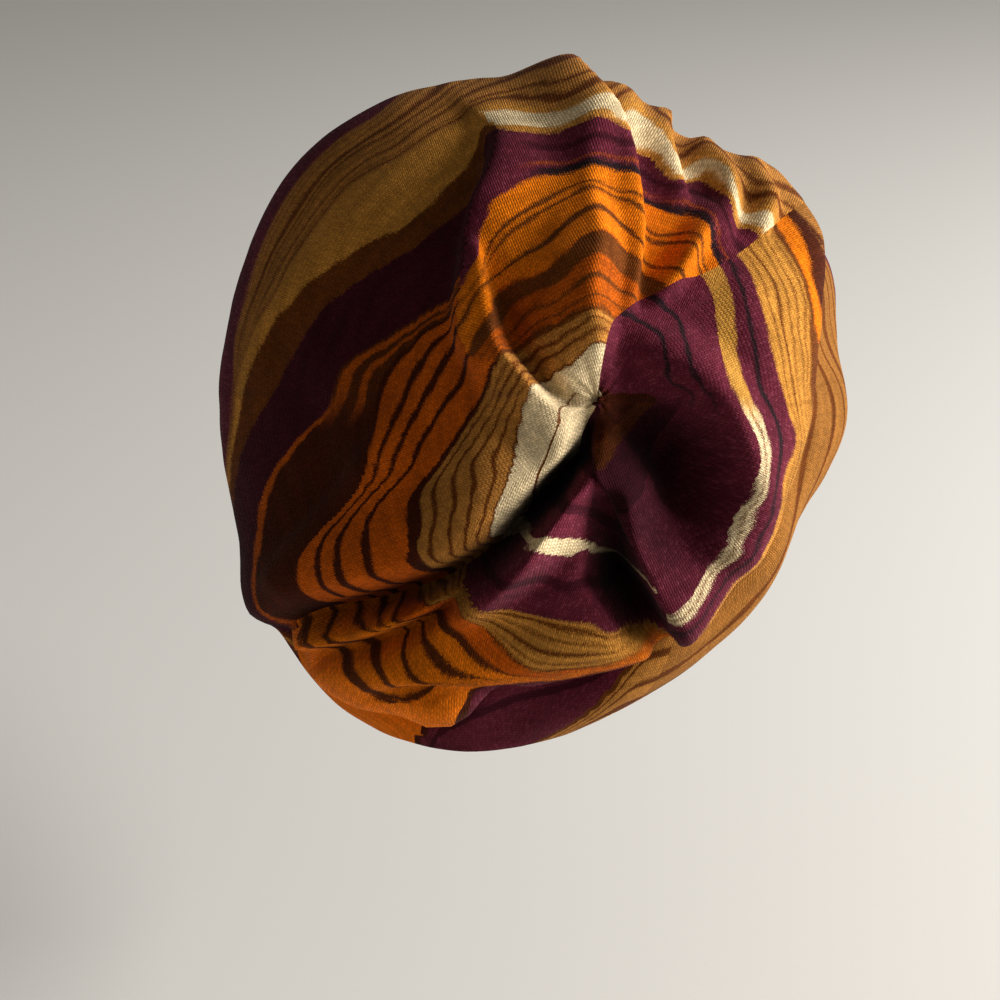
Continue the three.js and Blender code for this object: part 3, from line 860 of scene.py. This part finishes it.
@dataclass(frozen=True)
class StripedJersey:
    """Fine striped jersey: rows of small V stitches, heathered yarn and a soft nap.

    To the eye it gives stripes with soft edges, specks of lighter and darker yarn, a fine ribbed
    grain with painted shade between the stitch legs, painted shade in the creases, and no gloss but
    a faint bloom where the nap catches the light. Sizes are millimetres; the stitches are drawn
    coarser than real ones, so that they show. Each tone or painted shade is a reach and a least share.
    """

    wale: float = 1.5
    course: float = 1.2
    leg_slant: float = 1.1
    leg_edge: float = 3.4
    strand_round: float = 0.6
    stripe_count: float = 20.0
    turn_start: float = 40.0
    turn_span: float = 420.0
    ramp_stops: int = 30
    ragged: float = 0.15
    soft_edge: float = 2.6
    wander: float = 2.2
    nap_per_mm: float = 4.5
    fluff_per_mm: float = 0.9
    clouds_per_mm: float = 0.06
    streak_width: float = 3.5
    streak_turns: float = 34.0
    heather: float = 0.36
    # Painted shade in the gaps between stitch legs.
    stitch_gap_shade: tuple[float, float] = (0.56, 0.62)
    streak_light: tuple[float, float] = (0.5, 0.75)
    cloud_light: tuple[float, float] = (0.3, 0.85)
    # How much painted shade darkens the deepest hollows.
    crease_shade: float = 0.7
    pink: str = "9A5566"
    pink_share: float = 0.14
    pink_power: float = 6.0
    bright_plum: float = 0.09
    roughness: float = 0.92
    specular: float = 0.05
    sheen: float = 0.03
    sheen_roughness: float = 0.4
    fluff_height: float = 0.5
    bump: float = 0.55
    bump_depth: float = 0.6

    def stripe_ramp(self, tree: bpy.types.NodeTree, place: bpy.types.NodeSocket,
                    stripes: Stripes) -> bpy.types.NodeSocket:
        """Paints one panel's stripes.

        Args:
            tree: the node tree.
            place: the stripe number.
            stripes: where each stripe starts, and its yarn.

        Returns:
            The colour socket.
        """
        node = partial(add_node, tree)
        colour = None
        for first in range(0, len(stripes), self.ramp_stops):
            group = stripes[first:first + self.ramp_stops]
            low = group[0][0]
            span = group[-1][0] + 1.0 - low
            past = node("Math", (place, low), operation="SUBTRACT")
            painted = node("ValToRGB", (node("Math", (past, span), operation="DIVIDE"),))
            ramp = painted.node.color_ramp
            ramp.interpolation = "CONSTANT"
            while len(ramp.elements) < len(group):
                ramp.elements.new(1.0)
            for element, (start, yarn) in zip(ramp.elements, group):
                element.position = (start - low) / span
                element.color = linear(yarn.value)
            if colour is not None:
                later = node("Math", (place, low), operation="GREATER_THAN")
                painted = node("Mix", {0: later, 6: colour, 7: painted}, out=2, data_type="RGBA")
            colour = painted
        return colour

    def panel_colour(self, tree: bpy.types.NodeTree, place: bpy.types.NodeSocket,
                     bearing: bpy.types.NodeSocket, number: bpy.types.NodeSocket) -> bpy.types.NodeSocket:
        """Paints every panel's stripes, each in its own place.

        Args:
            tree: the node tree.
            place: the stripe number.
            bearing: degrees round the gather.
            number: the panel's number.

        Returns:
            The colour socket.
        """
        node = partial(add_node, tree)
        colour = None
        for count, panel in enumerate(PANELS):
            painted = self.stripe_ramp(tree, place, panel.stripes)
            if panel.later:
                share = node("MapRange", (bearing, *panel.change), interpolation_type="SMOOTHSTEP")
                later = self.stripe_ramp(tree, place, panel.later)
                painted = node("Mix", {0: share, 6: painted, 7: later}, out=2, data_type="RGBA")
            if colour is not None:
                reached = node("Math", (number, count - 0.5), operation="GREATER_THAN")
                painted = node("Mix", {0: reached, 6: colour, 7: painted}, out=2, data_type="RGBA")
            colour = painted
        return colour

    def make(self) -> bpy.types.Material:
        """Makes the material.

        Returns:
            The striped jersey.
        """
        material = bpy.data.materials.new("Striped jersey")
        material.use_nodes = True
        tree = material.node_tree
        tree.nodes.clear()
        node = partial(add_node, tree)
        lay = node("SeparateXYZ", (node("UVMap", uv_map="lay"),)).node.outputs
        knit = node("SeparateXYZ", (node("UVMap", uv_map="knit"),)).node.outputs
        # The rate map holds bands per millimetre and the painted shade of the creases.
        rate = node("SeparateXYZ", (node("UVMap", uv_map="rate"),)).node.outputs
        number = node("Math", (lay[0],), operation="FLOOR")
        turn = node("Math", (lay[0],), operation="FRACT")
        bearing = node("Math", (turn, self.turn_span, self.turn_start), operation="MULTIPLY_ADD")
        stripe = node("Math", (lay[1], self.stripe_count), operation="MULTIPLY")
        wale = node("Math", (knit[0], self.wale), operation="DIVIDE")
        course = node("Math", (knit[1], self.course), operation="DIVIDE")

        # Each V stitch: two slanting legs, rounded across, one V inside the next.
        middle = node("Math", (node("Math", (wale,), operation="FRACT"), 0.5), operation="SUBTRACT")
        half = node("Math", (middle,), operation="ABSOLUTE")
        slant = node("Math", (half, self.leg_slant, course), operation="MULTIPLY_ADD")
        nested = node("Math", (node("Math", (slant,), operation="FRACT"), 0.5), operation="SUBTRACT")
        nested = node("Math", (nested,), operation="ABSOLUTE")
        strand = node("Math", (nested, -2.0, 1.0), operation="MULTIPLY_ADD")
        strand = node("Math", (strand, self.strand_round), operation="POWER")
        across = node("Math", (half, 0.25), operation="SUBTRACT")
        across = node("Math", (across,), operation="ABSOLUTE")
        leg = node("Math", (across, -self.leg_edge, 1.0), operation="MULTIPLY_ADD")
        # The stitch pattern gives the bump and the painted shade between the legs.
        stitch = node("Math", (strand, leg), operation="MULTIPLY")

        # The yarn of each stitch is a little lighter or darker than its neighbours'.
        leg_number = node("Math", (node("Math", (wale, 2.0), operation="MULTIPLY"),), operation="FLOOR")
        row_number = node("Math", (slant,), operation="FLOOR")
        cell = node("CombineXYZ", (leg_number, row_number))
        chance = node("TexWhiteNoise", {"Vector": cell}, noise_dimensions="2D")
        where = node("TexCoord", out="Object")
        cloud = node("TexNoise", {"Vector": where, "Scale": self.clouds_per_mm / MM, "Detail": 3.0})
        fluff = node("TexNoise", {"Vector": where, "Scale": self.fluff_per_mm / MM, "Detail": 2.0})
        nap = node("TexNoise", {"Vector": where, "Scale": self.nap_per_mm / MM, "Detail": 0.0})
        streak_turn = node("Math", (turn, self.streak_turns), operation="MULTIPLY")
        streak_row = node("Math", (knit[1], self.streak_width), operation="DIVIDE")
        streak = node("CombineXYZ", (streak_turn, streak_row))
        streak = node("TexNoise", {"Vector": streak, "Scale": 1.0, "Detail": 0.0})

        # Stitches, nap and uneven rows shift the edges of the stripes a little.
        shift = None
        for source, reach in ((chance, self.ragged), (nap, self.soft_edge), (streak, self.wander)):
            part = node("Math", (source, reach, -reach / 2), operation="MULTIPLY_ADD")
            shift = part if shift is None else node("Math", (shift, part), operation="ADD")
        place = node("Math", (shift, rate[0], stripe), operation="MULTIPLY_ADD")
        colour = self.panel_colour(tree, place, bearing, number)

        # Plum is spun with pinkish fibres, so it has paler specks than the other yarns.
        parts = node("SeparateColor", (colour,)).node.outputs
        bluish = node("Math", (parts[2], parts[1]), operation="GREATER_THAN")
        bright = node("Math", (parts[0], self.bright_plum), operation="GREATER_THAN")
        speck = node("Math", (chance, self.pink_power), operation="POWER")
        for factor in (bluish, bright, self.pink_share):
            speck = node("Math", (speck, factor), operation="MULTIPLY")
        colour = node("Mix", {0: speck, 6: colour, 7: linear(self.pink)}, out=2, data_type="RGBA")

        # Uneven yarn, streaks and clouds vary the tone; painted shade darkens the gaps between stitch legs
        # and the creases.
        light = None
        for source, (reach, least) in (
                (chance, (self.heather, 1.0 - self.heather / 2)), (stitch, self.stitch_gap_shade),
                (streak, self.streak_light), (cloud, self.cloud_light),
                (rate[1], (-self.crease_shade, 1.0))):
            part = node("Math", (source, reach, least), operation="MULTIPLY_ADD")
            light = part if light is None else node("Math", (light, part), operation="MULTIPLY")
        grey = node("CombineXYZ", (light, light, light))
        colour = node("Mix", {0: 1.0, 6: colour, 7: grey}, out=2, data_type="RGBA", blend_type="MULTIPLY")

        height = node("Math", (fluff, self.fluff_height, stitch), operation="MULTIPLY_ADD")
        bump = node("Bump", {"Height": height, "Strength": self.bump, "Distance": self.bump_depth * MM})
        shader = node("BsdfPrincipled", {
            "Base Color": colour, "Normal": bump, "Roughness": self.roughness, "Sheen Weight": self.sheen,
            "Sheen Roughness": self.sheen_roughness, "Specular IOR Level": self.specular})
        node("OutputMaterial", (shader,))
        return material


@dataclass
class Crown:
    """The hat itself: one tube of jersey, drawn together at the back."""

    form: CrownForm
    finish: StripedJersey
    wall: float = 1.6
    crinkle: float = 0.9
    crinkle_size: float = 16.0
    ease_share: float = 0.5
    ease_rounds: int = 3
    merge: float = 0.01
    panel_turn: float = 45.0
    flat: tuple[float, float] = (0.52, 0.27)

    def build(self) -> bpy.types.Object:
        """Builds and dresses the hat.

        Returns:
            The hat.
        """
        surface = self.form.build()
        piece, row, column = self.start_grid(surface.points)
        self.lay_cloth(piece, surface, row, column)
        self.close_tube()
        self.finish_wall(piece)
        piece.data.materials.append(self.finish.make())
        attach(piece, "root")
        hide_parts("crown")
        return piece

    @staticmethod
    def start_grid(points: np.ndarray) -> tuple[bpy.types.Object, np.ndarray, np.ndarray]:
        """Starts the tube as an open grid of cloth; the gather is the grid's far side.

        Args:
            points: places in millimetres, rows by columns.

        Returns:
            The grid, with its vertices in place, and the row and column of each vertex.
        """
        rows, columns = points.shape[:2]
        bpy.ops.object.select_all(action="DESELECT")
        bpy.ops.mesh.primitive_grid_add(x_subdivisions=columns - 1, y_subdivisions=rows - 1, size=1.0)
        piece = bpy.context.object
        piece.name = "crown_jersey"
        piece.data.name = "crown_jersey"
        places = np.empty(rows * columns * 3)
        piece.data.vertices.foreach_get("co", places)
        across, along = places.reshape(-1, 3).T[:2]
        column = np.rint((across + 0.5) * (columns - 1)).astype(int)
        row = np.rint((0.5 - along) * (rows - 1)).astype(int)
        piece.data.vertices.foreach_set("co", (points[row, column] * MM).ravel())
        return piece, row, column

    def lay_cloth(self, piece: bpy.types.Object, surface: CrownSurface, row: np.ndarray,
                  column: np.ndarray) -> None:
        """Writes where each corner lies in the stripes and in the knitting, and how much painted shade it
        gets in the creases.

        Args:
            piece: the open grid.
            surface: the worked-out surface.
            row: the row of each vertex.
            column: the column of each vertex.
        """
        mesh = piece.data
        corner = np.empty(len(mesh.loops), dtype=int)
        mesh.loops.foreach_get("vertex_index", corner)
        turn, reach, crease = (part[row, column][corner] for part in
                               (surface.bearing, surface.radius, surface.crease))
        face_turn, face_reach = (part.reshape(-1, 4).mean(axis=1) for part in (turn, reach))
        panel = np.repeat(self.form.panel_number(face_turn, face_reach), 4)
        places = [self.form.stripe_place(one.edges, turn, reach) for one in PANELS]
        stripe = np.choose(panel, [place for place, _ in places])
        rate = np.choose(panel, [rate for _, rate in places])
        share = (turn - self.finish.turn_start) / self.finish.turn_span
        offset = np.mod(turn, self.panel_turn) - self.panel_turn / 2
        layers = {
            "lay": (panel + share, stripe / self.finish.stripe_count),
            "knit": (reach * np.radians(offset), reach),
            # The second channel carries the painted shade of the creases.
            "rate": (rate, crease),
        }
        while mesh.uv_layers:
            mesh.uv_layers.remove(mesh.uv_layers[0])
        for name, pair in layers.items():
            layer = mesh.uv_layers.new(name=name)
            layer.data.foreach_set("uv", np.stack(pair, axis=1).ravel())

    def close_tube(self) -> None:
        """Joins the seam of the grid in hand and draws the gather to one point."""
        bpy.ops.object.mode_set(mode="EDIT")
        bpy.ops.mesh.select_all(action="SELECT")
        bpy.ops.mesh.remove_doubles(threshold=self.merge * MM)
        bpy.ops.object.mode_set(mode="OBJECT")

    def finish_wall(self, piece: bpy.types.Object) -> None:
        """Crinkles the cloth a little and gives it its thickness.

        Args:
            piece: the closed tube.
        """
        texture = bpy.data.textures.new("crinkle", "CLOUDS")
        texture.noise_scale = self.crinkle_size * MM
        texture.noise_depth = 1
        crinkle = piece.modifiers.new("crinkle", "DISPLACE")
        crinkle.texture = texture
        crinkle.texture_coords = "LOCAL"
        crinkle.strength = self.crinkle * MM
        crinkle.mid_level = 0.5
        ease = piece.modifiers.new("ease", "SMOOTH")
        ease.factor = self.ease_share
        ease.iterations = self.ease_rounds
        wall = piece.modifiers.new("wall", "SOLIDIFY")
        wall.thickness = self.wall * MM
        wall.offset = -1.0
        for modifier in ("crinkle", "ease", "wall"):
            bpy.ops.object.modifier_apply(modifier=modifier)
        bpy.ops.object.shade_smooth()


@dataclass(frozen=True)
class PaleFloor:
    """A matt painted floor: pale, even and without gloss."""

    colour: str = "E6E2DA"
    roughness: float = 0.8

    def make(self) -> bpy.types.Material:
        """Makes the material.

        Returns:
            The pale floor.
        """
        material = bpy.data.materials.new("Pale floor")
        material.use_nodes = True
        tree = material.node_tree
        tree.nodes.clear()
        shader = add_node(tree, "BsdfPrincipled",
                          {"Base Color": linear(self.colour), "Roughness": self.roughness})
        add_node(tree, "OutputMaterial", (shader,))
        return material


@dataclass
class Studio:
    """The floor, the soft lights and the camera."""

    floor_level: float = -150.0
    floor_size: float = 6000.0
    floor_cuts: int = 4
    key_place: tuple[float, float, float] = (1950.0, -150.0, 720.0)
    key_aim: tuple[float, float, float] = (0.0, -30.0, 70.0)
    key_size: float = 1200.0
    key_power: float = 92.0
    sky: float = 0.19
    sky_colour: str = "F2F0EC"
    camera_aim: tuple[float, float, float] = (0.0, -25.0, 38.0)
    camera_away: float = 750.0
    camera_raised: float = 24.0
    lens: float = 77.76
    sensor: float = 36.0

    def build(self) -> None:
        """Builds the floor, lights and camera."""
        self.add_floor()
        self.add_lights()
        self.add_camera()

    def add_floor(self) -> None:
        """Lays the floor."""
        bpy.ops.object.select_all(action="DESELECT")
        bpy.ops.mesh.primitive_plane_add(size=self.floor_size * MM, location=(0, 0, self.floor_level * MM))
        floor = bpy.context.object
        floor.name = "floor"
        bpy.ops.object.transform_apply(location=True, rotation=True, scale=True)
        bpy.ops.object.mode_set(mode="EDIT")
        bpy.ops.mesh.subdivide(number_cuts=self.floor_cuts)
        bpy.ops.object.mode_set(mode="OBJECT")
        floor.data.materials.append(PaleFloor().make())

    def add_lights(self) -> None:
        """Hangs one soft light at the right and an even sky."""
        lamp = bpy.data.lights.new("key", "AREA")
        lamp.energy = self.key_power
        lamp.size = self.key_size * MM
        key = bpy.data.objects.new("key", lamp)
        bpy.context.collection.objects.link(key)
        key.location = Vector(self.key_place) * MM
        key.rotation_euler = (Vector(self.key_aim) * MM - key.location).to_track_quat("-Z", "Y").to_euler()
        world = bpy.data.worlds.new("sky")
        world.use_nodes = True
        background = world.node_tree.nodes["Background"]
        background.inputs[0].default_value = linear(self.sky_colour)
        background.inputs[1].default_value = self.sky
        bpy.context.scene.world = world
        bpy.context.scene.view_settings.view_transform = "Standard"

    def add_camera(self) -> None:
        """Stands the camera behind the hat, looking down at it."""
        data = bpy.data.cameras.new("camera")
        data.lens = self.lens
        data.sensor_width = self.sensor
        camera = bpy.data.objects.new("camera", data)
        bpy.context.collection.objects.link(camera)
        raised = math.radians(self.camera_raised)
        away = Vector((0.0, -math.cos(raised), math.sin(raised))) * self.camera_away
        camera.location = (Vector(self.camera_aim) + away) * MM
        camera.rotation_euler = (math.pi / 2 - raised, 0.0, 0.0)
        bpy.context.scene.camera = camera


def main() -> None:
    """Builds the hat and its studio."""
    logging.basicConfig(level=logging.INFO, format="%(name)s: %(message)s")
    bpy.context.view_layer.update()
    crown = Crown(CrownForm(), StripedJersey()).build()
    log.info("%s: %d faces", crown.name, len(crown.data.polygons))
    Studio().build()
    log.info("floor, lights and camera in place")


if __name__ == "__main__":
    main()
